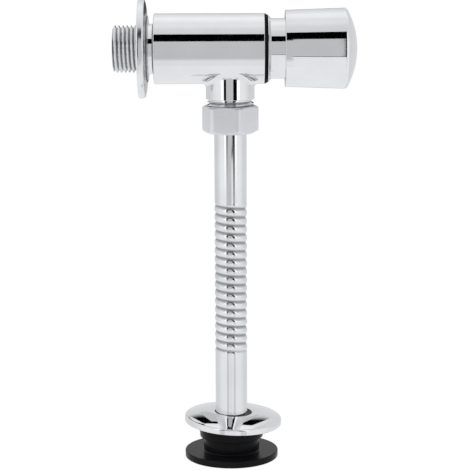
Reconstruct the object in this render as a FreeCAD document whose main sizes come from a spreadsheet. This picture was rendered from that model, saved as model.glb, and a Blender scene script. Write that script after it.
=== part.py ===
import FreeCAD, Part
import math
import operator
import os
from types import SimpleNamespace

import Sketcher

Vector = FreeCAD.Vector

# Wall-mounted push valve for a urinal, in millimetres.
# X runs along the valve from the wall plane (X = 0) to the push knob, Z is up, the body's axis is Z = 0.

SIZES = [
    # inlet: parallel pipe thread G 1/2
    ("thread_radius", 10.4775),
    ("thread_depth", 1.162),
    ("thread_pitch", 1.8143),
    ("thread_crest", 0.34),
    ("thread_lead", 0.8),
    ("inlet_reach", 11.2),
    ("inlet_bore_radius", 6.5),
    ("strainer_recess_radius", 8.0),
    ("strainer_recess_depth", 2.5),
    ("strainer_thickness", 0.8),
    ("strainer_hole_radius", 0.5),
    ("strainer_circle_step", 1.85),
    ("strainer_ring_thickness", 1.2),
    ("strainer_ring_bore", 6.7),
    # valve body
    ("neck_place", 4.2),
    ("neck_radius", 11.0),
    ("neck_length", 2.6),
    ("body_radius", 15.5),
    ("body_length", 48.9),
    ("body_edge", 0.5),
    ("inlet_chamber_place", 8.5),
    ("inlet_chamber_radius", 9.5),
    ("seat_place", 22.0),
    ("seat_thickness", 4.0),
    ("seat_pocket_radius", 11.6),
    ("seat_hole_radius", 5.5),
    ("seat_lip_height", 0.6),
    ("seat_lip_width", 0.9),
    ("outlet_chamber_radius", 12.5),
    # outlet boss and its thread
    ("outlet_place", 40.4),
    ("boss_radius", 10.7),
    ("boss_depth", 22.3),
    ("boss_relief", 0.7),
    ("boss_fillet", 1.6),
    ("outlet_thread_length", 9.9),
    ("port_radius", 6.0),
    # wall rosette
    ("rosette_radius", 21.75),
    ("rosette_sheet", 0.9),
    ("rosette_band", 3.0),
    ("rosette_edge", 0.9),
    ("rosette_land", 1.4),
    ("rosette_dome_radius", 34.0),
    ("rosette_play", 0.32),
    # bonnet with the damping cylinder
    ("bonnet_spigot_length", 8.8),
    ("gasket_thickness", 1.4),
    ("gasket_lip", 0.7),
    ("collar_radius", 14.6),
    ("collar_length", 1.2),
    ("collar_chamfer", 0.9),
    ("sleeve_radius", 13.25),
    ("sleeve_length", 17.2),
    ("cylinder_radius", 9.0),
    ("cylinder_depth", 15.5),
    ("cylinder_floor", 4.0),
    ("stem_ring_pocket_radius", 5.0),
    ("stem_ring_pocket_depth", 2.0),
    ("gland_recess_radius", 9.8),
    ("gland_thickness", 3.0),
    ("ring_groove_width", 2.0),
    ("ring_groove_depth", 1.6),
    # stem and main seal
    ("stem_radius", 3.0),
    ("stem_tip_radius", 2.6),
    ("stem_flange_radius", 4.5),
    ("stem_flange_thickness", 1.0),
    ("stem_screw_depth", 9.0),
    ("screw_radius", 2.0),
    ("screw_head_radius", 3.5),
    ("screw_head_height", 1.9),
    ("screw_slot", 0.8),
    ("screw_length", 7.5),
    ("seal_radius", 8.2),
    ("seal_thickness", 3.0),
    ("seal_washer_radius", 6.5),
    ("seal_washer_thickness", 1.5),
    ("backing_radius", 4.8),
    ("backing_thickness", 2.0),
    # piston
    ("piston_thickness", 4.6),
    ("cup_thickness", 2.5),
    ("cup_web", 1.0),
    ("cup_lip", 1.4),
    ("bleed_place", 6.0),
    ("bleed_hole_radius", 0.8),
    ("circlip_thickness", 0.8),
    ("circlip_radius", 4.4),
    ("circlip_gap", 2.4),
    # push knob
    ("knob_place", 64.7),
    ("knob_length", 31.9),
    ("knob_back_radius", 16.85),
    ("knob_front_radius", 17.8),
    ("knob_back_edge", 0.7),
    ("knob_front_edge", 1.6),
    ("knob_edge_reach", 0.9),
    ("knob_dome_radius", 35.2),
    ("knob_face_wall", 4.7),
    ("core_length", 9.0),
    ("core_hub_radius", 5.5),
    ("spring_pocket_radius", 9.5),
    ("spring_pocket_depth", 5.0),
    ("core_stem_depth", 3.0),
    ("core_screw_recess", 2.0),
    ("core_screw_recess_radius", 4.0),
    ("spring_radius", 7.6),
    ("spring_wire_radius", 0.7),
    # union nut, tube and gasket
    ("outlet_gasket_thickness", 1.5),
    ("tube_collar_radius", 9.8),
    ("tube_collar_thickness", 1.0),
    ("slip_ring_thickness", 0.8),
    ("nut_flats", 23.0),
    ("nut_corner_radius", 12.6),
    ("nut_turn", 49.0),
    ("nut_cover", 7.8),
    ("nut_shoulder", 1.2),
    ("nut_top_radius", 11.2),
    ("nut_top_chamfer", 0.8),
    ("nut_bottom_radius", 10.0),
    ("nut_bottom_chamfer", 1.5),
    ("tube_radius", 7.2),
    ("tube_wall", 0.7),
    ("tube_plain_length", 33.65),
    ("rib_pitch", 3.86),
    ("rib_radius", 6.96),
    ("rib_swing", 0.36),
    ("tube_tail_length", 45.05),
    # tube rosette
    ("tube_rosette_radius", 22.1),
    ("tube_rosette_hole", 8.5),
    ("tube_rosette_lift", 3.2),
    ("tube_rosette_band", 2.7),
    ("tube_rosette_rise", 2.0),
    ("tube_rosette_offset", 0.9),
    ("tube_rosette_tilt_right", 2.7),
    ("tube_rosette_tilt_front", 1.4),
    # rubber connector
    ("spud_lip_radius", 15.1),
    ("spud_lip_foot_radius", 14.4),
    ("spud_lip_height", 8.1),
    ("spud_neck_radius", 12.8),
    ("spud_neck_height", 6.4),
    ("spud_flange_radius", 21.25),
    ("spud_flange_thickness", 3.1),
    ("spud_edge", 0.5),
    ("spud_floor", 3.9),
    # clearances
    ("running_clearance", 0.05),
    ("thread_clearance", 0.1),
    ("loose_clearance", 0.3),
    ("ring_squeeze", 0.05),
]

# counts
INLET_TURNS = 6
OUTLET_TURNS = 5
RIBS = 18
STEPS_PER_RIB = 8
FIRST_GROOVE_STEP = 3
SPRING_TURNS = 7
STRAINER_HOLE_COUNTS = (1, 6, 12, 16)

# how near two places count as the same
SAME_PLACE = 0.01

OPERATIONS = {
    "+": operator.add,
    "-": operator.sub,
    "*": operator.mul,
    "/": operator.truediv,
}


class Size:
    """A size from the sheet, or one worked out from others: its formula and its present value."""

    def __init__(self, formula, value):
        self.formula = formula
        self.value = value

    def join(self, sign, other):
        right = other if isinstance(other, Size) else Size(str(other), other)
        formula = f"({self.formula} {sign} {right.formula})"
        return Size(formula, OPERATIONS[sign](self.value, right.value))

    def __add__(self, other):
        return self.join("+", other)

    def __sub__(self, other):
        return self.join("-", other)

    def __mul__(self, other):
        return self.join("*", other)

    def __truediv__(self, other):
        return self.join("/", other)

    def __neg__(self):
        return Size(f"(-1 * {self.formula})", -self.value)


def root(size):
    return Size(f"sqrt({size.formula})", math.sqrt(size.value))


ZERO = Size("0", 0.0)

doc = FreeCAD.newDocument("PushValve")
parts = []


def make_sheet():
    sheet = doc.addObject("Spreadsheet::Sheet", "Sizes")
    sizes = SimpleNamespace()
    for row, (name, value) in enumerate(SIZES, start=1):
        sheet.set(f"A{row}", name)
        sheet.set(f"B{row}", str(value))
        sheet.setAlias(f"B{row}", name)
        setattr(sizes, name, Size(f"Sizes.{name}", value))
    doc.recompute()
    return sizes


s = make_sheet()


# helpers for sketches and turned pieces

def bind(thing, prop, size):
    thing.setExpression(prop, size.formula)


def origin_item(body, role):
    return next(item for item in body.Origin.OriginFeatures if item.Role == role)


def new_sketch(body, name, plane, shift_x=None):
    sketch = body.newObject("Sketcher::SketchObject", name)
    sketch.AttachmentSupport = [(origin_item(body, plane), "")]
    sketch.MapMode = "FlatFace"
    if shift_x is not None:
        bind(sketch, "AttachmentOffset.Base.x", shift_x)
    return sketch


def arc_between(begin, end, radius, side):
    """The arc of that radius from begin to end, and the numbers of its first and last point."""
    chord = end - begin
    middle = (begin + end) * 0.5
    reach = math.sqrt(max(radius * radius - chord.Length * chord.Length / 4, 0.0))
    across = Vector(-chord.y, chord.x, 0).normalize()
    centre = middle + across * (side * reach)
    circle = Part.Circle(centre, Vector(0, 0, 1), radius)
    angles = [math.atan2(p.y - centre.y, p.x - centre.x) for p in (begin, end)]
    if side > 0:
        return Part.ArcOfCircle(circle, angles[0], angles[1]), (1, 2)
    return Part.ArcOfCircle(circle, angles[1], angles[0]), (2, 1)


def draw_outline(sketch, corners):
    """A closed outline. A corner is (along, out), or (along, out, radius, side) where an arc leaves it."""
    places = [Vector(corner[0].value, corner[1].value, 0) for corner in corners]
    edges = []
    ends = []
    for number, corner in enumerate(corners):
        begin = places[number]
        end = places[(number + 1) % len(corners)]
        if len(corner) == 4:
            edge, marks = arc_between(begin, end, corner[2].value, corner[3])
        else:
            edge, marks = Part.LineSegment(begin, end), (1, 2)
        edges.append(edge)
        ends.append(marks)
    sketch.addGeometry(edges, False)
    rules = []
    formulas = []
    for number, corner in enumerate(corners):
        following = (number + 1) % len(corners)
        rules.append(
            Sketcher.Constraint("Coincident", number, ends[number][1], following, ends[following][0])
        )
        formulas.append(None)
        for kind, size in (("DistanceX", corner[0]), ("DistanceY", corner[1])):
            rules.append(Sketcher.Constraint(kind, -1, 1, number, ends[number][0], size.value))
            formulas.append(size.formula)
        if len(corner) == 4:
            rules.append(Sketcher.Constraint("Radius", number, corner[2].value))
            formulas.append(corner[2].formula)
    sketch.addConstraint(rules)
    for number, formula in enumerate(formulas):
        if formula is not None:
            sketch.setExpression(f"Constraints[{number}]", formula)


def turn(body, name, corners, axis="H_Axis", cut=False, shift_x=None):
    """Turns an outline drawn in the XZ plane about one of the sketch's axes."""
    before = body.Shape.Volume if cut else None
    sketch = new_sketch(body, f"{name}Outline", "XZ_Plane", shift_x)
    draw_outline(sketch, corners)
    feature = body.newObject("PartDesign::Groove" if cut else "PartDesign::Revolution", name)
    feature.Profile = sketch
    feature.ReferenceAxis = (sketch, [axis])
    feature.Angle = 360
    sketch.Visibility = False
    doc.recompute()
    if cut and not body.Shape.Volume < before - 0.001:
        raise RuntimeError(f"{name} cuts nothing")
    return feature


def new_body(label, at_outlet=False):
    body = doc.addObject("PartDesign::Body", "".join(word.title() for word in label.split("_")))
    body.Label = label
    if at_outlet:
        bind(body, "Placement.Base.x", s.outlet_place)
    parts.append(body)
    return body


def turned_along(label, corners):
    """A piece turned about the body's axis, X."""
    body = new_body(label)
    turn(body, f"{body.Name}Turned", corners)
    return body


def turned_upright(label, corners):
    """A piece turned about the outlet's upright axis. Its corners are (out, up)."""
    body = new_body(label, at_outlet=True)
    turn(body, f"{body.Name}Turned", corners, axis="V_Axis")
    return body


def ring_corners(start, end, inner, outer):
    return [(start, inner), (start, outer), (end, outer), (end, inner)]


def upright_ring_corners(top, bottom, inner, outer):
    return [(inner, top), (outer, top), (outer, bottom), (inner, bottom)]


def seal_ring(label, middle, inner, outer):
    """A round cord ring that fills a groove between two radii, but for the squeeze."""
    ring = doc.addObject("Part::Torus", "".join(word.title() for word in label.split("_")))
    ring.Label = label
    ring.Placement.Rotation = FreeCAD.Rotation(Vector(0, 1, 0), 90)
    bind(ring, "Placement.Base.x", middle)
    bind(ring, "Radius1", (inner + outer) / 2)
    bind(ring, "Radius2", (outer - inner) / 2 - s.ring_squeeze)
    parts.append(ring)
    return ring


def bore_hole(body, name, plane, depth, radius, along=ZERO, across=ZERO, reverse=False, start=None):
    """A round pocket from a plane of the body, or from a parallel one at a start height."""
    before = body.Shape.Volume
    sketch = new_sketch(body, f"{name}Circle", plane)
    if start is not None:
        bind(sketch, "AttachmentOffset.Base.z", start)
    sketch.addGeometry(Part.Circle(Vector(along.value, across.value, 0), Vector(0, 0, 1), radius.value))
    sketch.addConstraint([
        Sketcher.Constraint("DistanceX", -1, 1, 0, 3, along.value),
        Sketcher.Constraint("DistanceY", -1, 1, 0, 3, across.value),
        Sketcher.Constraint("Radius", 0, radius.value),
    ])
    for number, size in enumerate((along, across, radius)):
        sketch.setExpression(f"Constraints[{number}]", size.formula)
    pocket = body.newObject("PartDesign::Pocket", name)
    pocket.Profile = sketch
    pocket.Reversed = reverse
    bind(pocket, "Length", depth)
    sketch.Visibility = False
    doc.recompute()
    if not body.Shape.Volume < before - 0.001:
        raise RuntimeError(f"{name} cuts nothing")
    return pocket


# places along the valve, worked out from the sizes

body_place = s.neck_place + s.neck_length
body_end = body_place + s.body_length
thread_root = s.thread_radius - s.thread_depth
seal_face = s.seat_place - s.seat_lip_height
seat_end = s.seat_place + s.seat_thickness
bonnet_place = body_end - s.bonnet_spigot_length
spigot_radius = s.outlet_chamber_radius - s.thread_clearance
collar_place = body_end + s.gasket_thickness
collar_end = collar_place + s.collar_length
sleeve_end = collar_end + s.sleeve_length
cylinder_end = bonnet_place + s.cylinder_depth
floor_end = cylinder_end + s.cylinder_floor
gland_end = floor_end + s.gland_thickness
knob_tip = s.knob_place + s.knob_length
core_end = knob_tip - s.knob_face_wall
core_place = core_end - s.core_length
spring_floor = core_place + s.spring_pocket_depth
stem_tip = seal_face - s.seal_thickness
stem_end = core_place + s.core_stem_depth
stem_bore_radius = s.stem_radius + s.running_clearance
screw_bore_radius = s.screw_radius + s.running_clearance
flange_end = cylinder_end - s.stem_flange_thickness
flange_place = flange_end - s.stem_flange_thickness
cup_end = flange_place - s.thread_clearance
cup_place = cup_end - s.cup_thickness
piston_place = cup_place - s.piston_thickness
piston_radius = s.cylinder_radius - s.running_clearance
circlip_end = piston_place - s.thread_clearance
circlip_place = circlip_end - s.circlip_thickness

# heights down the outlet

boss_end = -(s.boss_depth + s.boss_relief + s.outlet_thread_length)
gasket_end = boss_end - s.outlet_gasket_thickness
tube_collar_end = gasket_end - s.tube_collar_thickness
slip_ring_end = tube_collar_end - s.slip_ring_thickness
nut_bottom = slip_ring_end - s.nut_shoulder
nut_top = boss_end + s.nut_cover
ribs_top = gasket_end - s.tube_plain_length
ribs_bottom = ribs_top - s.rib_pitch * RIBS
tube_bottom = ribs_bottom - s.tube_tail_length
spud_bottom = tube_bottom - s.spud_floor
spud_neck_bottom = spud_bottom + s.spud_flange_thickness
spud_neck_top = spud_neck_bottom + s.spud_neck_height
spud_top = spud_neck_top + s.spud_lip_height
tube_rosette_height = spud_top + s.tube_rosette_lift


def thread_corners(start, turns, place):
    """Ring grooves of a thread's depth and pitch. place turns (along, radius) into a corner."""
    half_gap = (s.thread_pitch - s.thread_crest) / 2
    corners = []
    for number in range(turns):
        middle = start + s.thread_pitch * number + s.thread_crest + half_gap
        corners.append(place(middle - half_gap, s.thread_radius))
        corners.append(place(middle, thread_root))
        corners.append(place(middle + half_gap, s.thread_radius))
    return corners


def round_boss_root(body):
    """Rounds the edge where the outlet boss leaves the round body."""
    blank = body.Tip
    edges = []
    for number, edge in enumerate(blank.Shape.Edges, start=1):
        middle = edge.valueAt((edge.FirstParameter + edge.LastParameter) / 2)
        from_boss = math.hypot(middle.x - s.outlet_place.value, middle.y) - s.boss_radius.value
        from_body = math.hypot(middle.y, middle.z) - s.body_radius.value
        if max(abs(from_boss), abs(from_body)) < SAME_PLACE:
            edges.append(f"Edge{number}")
    fillet = body.newObject("PartDesign::Fillet", "BossRoot")
    fillet.Base = (blank, edges)
    bind(fillet, "Radius", s.boss_fillet)
    doc.recompute()
    if not body.Shape.Volume > blank.Shape.Volume:
        raise RuntimeError("the boss has no rounded root")


def make_valve_body():
    body = new_body("valve_body")
    inlet_end = -s.inlet_reach
    thread_start = inlet_end + s.thread_lead
    thread_end = thread_start + s.thread_pitch * INLET_TURNS + s.thread_crest
    corners = [(inlet_end, ZERO), (inlet_end, s.thread_radius - s.thread_lead)]
    corners.append((thread_start, s.thread_radius))
    corners += thread_corners(thread_start, INLET_TURNS, lambda along, out: (along, out))
    corners += [
        (thread_end, s.thread_radius),
        (thread_end + s.thread_lead, thread_root),
        (s.neck_place, thread_root),
        (s.neck_place, s.neck_radius),
        (body_place, s.neck_radius),
        (body_place, s.body_radius - s.body_edge, s.body_edge, -1),
        (body_place + s.body_edge, s.body_radius),
        (body_end - s.body_edge, s.body_radius, s.body_edge, -1),
        (body_end, s.body_radius - s.body_edge),
        (body_end, ZERO),
    ]
    turn(body, "BodyBlank", corners)

    thread_top = -(s.boss_depth + s.boss_relief)
    lead_start = boss_end + s.thread_lead
    boss = [(ZERO, ZERO), (ZERO, boss_end), (s.thread_radius - s.thread_lead, boss_end)]
    boss.append((s.thread_radius, lead_start))
    boss += thread_corners(lead_start, OUTLET_TURNS - 1, lambda along, out: (out, along))
    boss += [
        (s.thread_radius, thread_top),
        (thread_root, thread_top),
        (thread_root, -s.boss_depth),
        (s.boss_radius, -s.boss_depth),
        (s.boss_radius, ZERO),
    ]
    turn(body, "OutletBoss", boss, axis="V_Axis", shift_x=s.outlet_place)
    round_boss_root(body)

    cavity = [
        (inlet_end, ZERO),
        (inlet_end, s.strainer_recess_radius),
        (inlet_end + s.strainer_recess_depth, s.strainer_recess_radius),
        (inlet_end + s.strainer_recess_depth, s.inlet_bore_radius),
        (s.inlet_chamber_place, s.inlet_bore_radius),
        (s.inlet_chamber_place, s.inlet_chamber_radius),
        (s.seat_place, s.inlet_chamber_radius),
        (s.seat_place, s.seat_pocket_radius),
        (seat_end, s.seat_pocket_radius),
        (seat_end, s.outlet_chamber_radius),
        (body_end, s.outlet_chamber_radius),
        (body_end, ZERO),
    ]
    turn(body, "Waterway", cavity, cut=True)

    port = [(ZERO, ZERO), (s.port_radius, ZERO), (s.port_radius, boss_end), (ZERO, boss_end)]
    turn(body, "OutletPort", port, axis="V_Axis", cut=True, shift_x=s.outlet_place)


def make_strainer():
    start = -s.inlet_reach + s.strainer_recess_depth - s.strainer_thickness
    radius = s.strainer_recess_radius - s.running_clearance
    body = turned_along(
        "inlet_strainer", ring_corners(start, start + s.strainer_thickness, ZERO, radius)
    )
    for number, count in enumerate(STRAINER_HOLE_COUNTS):
        name = f"StrainerHoles{count}"
        place = s.strainer_circle_step * number
        hole = bore_hole(
            body, name, "YZ_Plane", s.strainer_thickness * 3, s.strainer_hole_radius,
            along=place, start=start - s.strainer_thickness, reverse=True,
        )
        if count == 1:
            continue
        pattern = body.newObject("PartDesign::PolarPattern", f"{name}Round")
        pattern.Originals = [hole]
        pattern.Axis = (origin_item(body, "X_Axis"), [""])
        pattern.Angle = 360
        pattern.Occurrences = count
        body.Tip = pattern
        doc.recompute()
    turned_along(
        "strainer_ring",
        ring_corners(start - s.strainer_ring_thickness, start, s.strainer_ring_bore, radius),
    )


def dish_corners(rim, front, hole, radius, band, flip):
    """A dished sheet cover. rim and front are places along its axis, flip turns (along, out) into corners."""
    sheet = s.rosette_sheet
    edge_place = rim + band
    corners = [
        flip(rim, radius),
        flip(edge_place - s.rosette_edge, radius, s.rosette_edge),
        flip(edge_place, radius - s.rosette_edge, s.rosette_dome_radius),
        flip(front, hole + s.rosette_land),
        flip(front, hole),
        flip(front - sheet, hole),
        flip(front - sheet, hole + s.rosette_land, s.rosette_dome_radius - sheet, True),
        flip(edge_place - sheet, radius - sheet),
        flip(rim, radius - sheet),
    ]
    return corners


def make_wall_rosette():
    def flip(along, out, radius=None, inner=False):
        return (along, out) if radius is None else (along, out, radius, 1 if inner else -1)

    hole = s.thread_radius + s.rosette_play
    turned_along(
        "wall_rosette",
        dish_corners(ZERO, s.neck_place, hole, s.rosette_radius, s.rosette_band, flip),
    )


def make_tube_rosette():
    def flip(along, out, radius=None, inner=False):
        return (out, along) if radius is None else (out, along, radius, -1 if inner else 1)

    rim = -(s.tube_rosette_band + s.tube_rosette_rise)
    body = new_body("tube_rosette")
    corners = dish_corners(
        rim, ZERO, s.tube_rosette_hole, s.tube_rosette_radius, s.tube_rosette_band, flip
    )
    turn(body, "TubeRosetteTurned", corners, axis="V_Axis")
    front = s.tube_rosette_tilt_front
    right = s.tube_rosette_tilt_right
    body.Placement.Rotation = FreeCAD.Rotation(
        Vector(front.value, right.value, 0), math.hypot(front.value, right.value)
    )
    bind(body, "Placement.Rotation.Angle", root(front * front + right * right))
    bind(body, "Placement.Base.x", s.outlet_place + s.tube_rosette_offset)
    bind(body, "Placement.Base.z", tube_rosette_height)


def make_seat():
    outer = s.seat_pocket_radius - s.thread_clearance
    groove = outer - s.ring_groove_depth
    middle = s.seat_place + s.seat_thickness / 2
    lip = s.seat_hole_radius + s.seat_lip_width
    corners = [
        (seal_face, s.seat_hole_radius),
        (seal_face, lip),
        (s.seat_place, lip),
        (s.seat_place, outer),
        (middle - s.ring_groove_width / 2, outer),
        (middle - s.ring_groove_width / 2, groove),
        (middle + s.ring_groove_width / 2, groove),
        (middle + s.ring_groove_width / 2, outer),
        (seat_end, outer),
        (seat_end, s.seat_hole_radius),
    ]
    turned_along("seat_bush", corners)
    seal_ring("seat_o_ring", middle, groove, s.seat_pocket_radius)


def make_bonnet():
    groove = spigot_radius - s.ring_groove_depth
    groove_place = bonnet_place + s.ring_groove_width
    groove_end = groove_place + s.ring_groove_width
    ring_pocket = floor_end - s.stem_ring_pocket_depth
    corners = [
        (bonnet_place, s.cylinder_radius),
        (bonnet_place, spigot_radius),
        (groove_place, spigot_radius),
        (groove_place, groove),
        (groove_end, groove),
        (groove_end, spigot_radius),
        (collar_place, spigot_radius),
        (collar_place, s.collar_radius),
        (collar_end - s.collar_chamfer, s.collar_radius),
        (collar_end, s.sleeve_radius),
        (sleeve_end, s.sleeve_radius),
        (sleeve_end, s.gland_recess_radius),
        (floor_end, s.gland_recess_radius),
        (floor_end, s.stem_ring_pocket_radius),
        (ring_pocket, s.stem_ring_pocket_radius),
        (ring_pocket, stem_bore_radius),
        (cylinder_end, stem_bore_radius),
        (cylinder_end, s.cylinder_radius),
    ]
    turned_along("bonnet", corners)
    gasket_bore = spigot_radius + s.running_clearance
    turned_along("bonnet_gasket", [
        (body_end, gasket_bore),
        (body_end, s.body_radius),
        (collar_place, s.body_radius - s.gasket_lip),
        (collar_place, gasket_bore),
    ])
    seal_ring("bonnet_o_ring", (groove_place + groove_end) / 2, groove, s.outlet_chamber_radius)
    seal_ring(
        "stem_o_ring", (ring_pocket + floor_end) / 2, s.stem_radius + s.ring_squeeze,
        s.stem_ring_pocket_radius,
    )
    gland_outer = s.gland_recess_radius - s.thread_clearance
    gland_bore = s.stem_radius + s.loose_clearance
    turned_along("gland_nut", ring_corners(floor_end, gland_end, gland_bore, gland_outer))


def make_stem():
    body = turned_along("stem", [
        (stem_tip, ZERO),
        (stem_tip, s.stem_tip_radius),
        (seal_face + s.backing_thickness, s.stem_tip_radius),
        (seal_face + s.backing_thickness, s.stem_radius),
        (circlip_place - s.running_clearance, s.stem_radius),
        (circlip_place - s.running_clearance, s.stem_tip_radius),
        (circlip_end + s.running_clearance, s.stem_tip_radius),
        (circlip_end + s.running_clearance, s.stem_radius),
        (flange_place, s.stem_radius),
        (flange_place, s.stem_flange_radius),
        (flange_end, s.stem_flange_radius),
        (flange_end, s.stem_radius),
        (stem_end, s.stem_radius),
        (stem_end, ZERO),
    ])
    for name, start, reverse in (
        ("StemTipHole", stem_tip, True),
        ("StemEndHole", stem_end, False),
    ):
        bore_hole(
            body, name, "YZ_Plane", s.stem_screw_depth, screw_bore_radius, start=start,
            reverse=reverse,
        )


def slotted_screw(label, head_place, forward):
    """A cheese-head screw whose head face lies at head_place. forward is 1 where its shank runs to +X."""
    under_head = head_place + s.screw_head_height * forward
    shank_end = under_head + s.screw_length * forward
    body = turned_along(label, [
        (head_place, ZERO),
        (head_place, s.screw_head_radius),
        (under_head, s.screw_head_radius),
        (under_head, s.screw_radius),
        (shank_end, s.screw_radius),
        (shank_end, ZERO),
    ])
    half_slot = s.screw_slot / 2
    before = body.Shape.Volume
    sketch = new_sketch(body, f"{body.Name}SlotOutline", "XZ_Plane")
    slot_floor = head_place + s.screw_slot * forward
    draw_outline(sketch, [
        (head_place, -half_slot),
        (head_place, half_slot),
        (slot_floor, half_slot),
        (slot_floor, -half_slot),
    ])
    slot = body.newObject("PartDesign::Pocket", f"{body.Name}Slot")
    slot.Profile = sketch
    slot.Midplane = True
    bind(slot, "Length", s.screw_head_radius * 3)
    sketch.Visibility = False
    doc.recompute()
    if not body.Shape.Volume < before - 0.001:
        raise RuntimeError(f"{label} has no slot")


def make_main_seal():
    tip_bore = s.stem_tip_radius + s.running_clearance
    washer_place = stem_tip - s.seal_washer_thickness
    backing_end = seal_face + s.backing_thickness
    turned_along("main_seal", ring_corners(stem_tip, seal_face, tip_bore, s.seal_radius))
    turned_along("seal_backing", ring_corners(seal_face, backing_end, tip_bore, s.backing_radius))
    turned_along(
        "seal_washer", ring_corners(washer_place, stem_tip, screw_bore_radius, s.seal_washer_radius)
    )
    slotted_screw("seal_screw", washer_place - s.screw_head_height, 1)


def make_piston():
    body = turned_along(
        "piston", ring_corners(piston_place, cup_place, stem_bore_radius, piston_radius)
    )
    bleed_depth = s.piston_thickness * 2
    bore_hole(
        body, "BleedHole", "YZ_Plane", bleed_depth, s.bleed_hole_radius, across=-s.bleed_place,
        start=piston_place, reverse=True,
    )
    cup = turned_along("piston_cup", [
        (cup_place, stem_bore_radius),
        (cup_place, piston_radius),
        (cup_end, piston_radius),
        (cup_end, piston_radius - s.cup_lip),
        (cup_place + s.cup_web, piston_radius - s.cup_lip * 1.5),
        (cup_place + s.cup_web, s.stem_flange_radius),
        (cup_end, s.stem_flange_radius),
        (cup_end, stem_bore_radius),
    ])
    bore_hole(
        cup, "CupHole", "YZ_Plane", bleed_depth, s.bleed_hole_radius, across=-s.bleed_place,
        start=cup_place, reverse=True,
    )
    pin = doc.addObject("Part::Cylinder", "BleedPin")
    pin.Label = "bleed_pin"
    pin.Placement.Rotation = FreeCAD.Rotation(Vector(0, 1, 0), 90)
    bind(pin, "Placement.Base.x", piston_place)
    bind(pin, "Placement.Base.z", -s.bleed_place)
    bind(pin, "Radius", s.bleed_hole_radius - s.running_clearance)
    bind(pin, "Height", s.piston_thickness)
    parts.append(pin)


def make_circlip():
    blank = doc.addObject("PartDesign::Body", "CirclipBlank")
    turn(
        blank, "CirclipTurned",
        ring_corners(circlip_place, circlip_end, s.stem_tip_radius + s.running_clearance, s.circlip_radius),
    )
    opening = doc.addObject("Part::Box", "CirclipOpening")
    bind(opening, "Length", s.circlip_thickness * 2)
    bind(opening, "Width", s.circlip_gap)
    bind(opening, "Height", s.circlip_radius * 2)
    bind(opening, "Placement.Base.x", circlip_place - s.circlip_thickness / 2)
    bind(opening, "Placement.Base.y", -s.circlip_gap / 2)
    clip = doc.addObject("Part::Cut", "StemCirclip")
    clip.Label = "stem_circlip"
    clip.Base = blank
    clip.Tool = opening
    parts.append(clip)


def dome_place(out):
    """Where the knob's domed face lies at a distance from its axis."""
    return knob_tip - s.knob_dome_radius + root(s.knob_dome_radius * s.knob_dome_radius - out * out)


def make_knob():
    core_radius = s.sleeve_radius + s.loose_clearance
    dome_edge = s.knob_front_radius - s.knob_edge_reach
    turned_along("button_cap", [
        (s.knob_place, core_radius),
        (s.knob_place, s.knob_back_radius - s.knob_back_edge, s.knob_back_edge, -1),
        (s.knob_place + s.knob_back_edge, s.knob_back_radius),
        (dome_place(s.knob_front_radius) - s.knob_edge_reach, s.knob_front_radius, s.knob_front_edge, -1),
        (dome_place(dome_edge), dome_edge, s.knob_dome_radius, -1),
        (knob_tip, ZERO),
        (core_end, ZERO),
        (core_end, core_radius),
    ])
    recess = core_end - s.core_screw_recess
    turned_along("button_core", [
        (core_place, stem_bore_radius),
        (core_place, s.core_hub_radius),
        (spring_floor, s.core_hub_radius),
        (spring_floor, s.spring_pocket_radius),
        (core_place, s.spring_pocket_radius),
        (core_place, core_radius - s.running_clearance),
        (core_end, core_radius - s.running_clearance),
        (core_end, s.core_screw_recess_radius),
        (recess, s.core_screw_recess_radius),
        (recess, screw_bore_radius),
        (stem_end, screw_bore_radius),
        (stem_end, stem_bore_radius),
    ])
    slotted_screw("button_screw", recess + s.screw_head_height, -1)


def biarc(begin, leaving, end, arriving):
    """Two tangent arcs from begin to end with the given unit directions."""
    span = end - begin
    total = leaving + arriving
    first = 2 * (1 - leaving.dot(arriving))
    second = 2 * span.dot(total)
    reach = (-second + math.sqrt(second * second + 4 * first * span.dot(span))) / (2 * first)
    joint = (begin + leaving * reach + end - arriving * reach) * 0.5
    arcs = []
    for start, corner, stop in (
        (begin, begin + leaving * reach, joint),
        (joint, end - arriving * reach, end),
    ):
        middle = (start + stop) * 0.5
        half = (stop - start).Length / 2
        bulge = half * math.tan(math.acos(min(half / reach, 1.0)) / 2)
        arcs.append(Part.Arc(start, middle + (corner - middle).normalize() * bulge, stop).toShape())
    return arcs


def make_spring():
    """The return spring: round wire wound about X between the gland nut and the knob's core."""
    wire = s.spring_wire_radius.value
    radius = s.spring_radius.value
    start = gland_end.value + wire
    length = spring_floor.value - wire - start
    rise = length / (2 * math.pi * SPRING_TURNS)
    quarters = 4 * SPRING_TURNS

    def place(turn_angle):
        return Vector(start + rise * turn_angle, radius * math.cos(turn_angle), radius * math.sin(turn_angle))

    def heading(turn_angle):
        return Vector(rise, -radius * math.sin(turn_angle), radius * math.cos(turn_angle)).normalize()

    edges = []
    for number in range(quarters):
        here = number * math.pi / 2
        following = (number + 1) * math.pi / 2
        edges += biarc(place(here), heading(here), place(following), heading(following))
    path = Part.Wire(edges)
    section = Part.Wire(Part.Circle(place(0), heading(0), wire).toShape())
    coil = path.makePipeShell([section], True, False)
    samples = [place(2 * math.pi * number / 24) for number in range(24 * SPRING_TURNS + 1)]
    gap = min(
        (samples[a] - samples[b]).Length - 2 * wire
        for a in range(len(samples))
        for b in range(a + 12, len(samples))
    )
    print(f"return_spring least gap to itself {gap:.2f} mm")
    spring = doc.addObject("Part::Feature", "ReturnSpring")
    spring.Label = "return_spring"
    spring.Shape = coil
    parts.append(spring)


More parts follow.
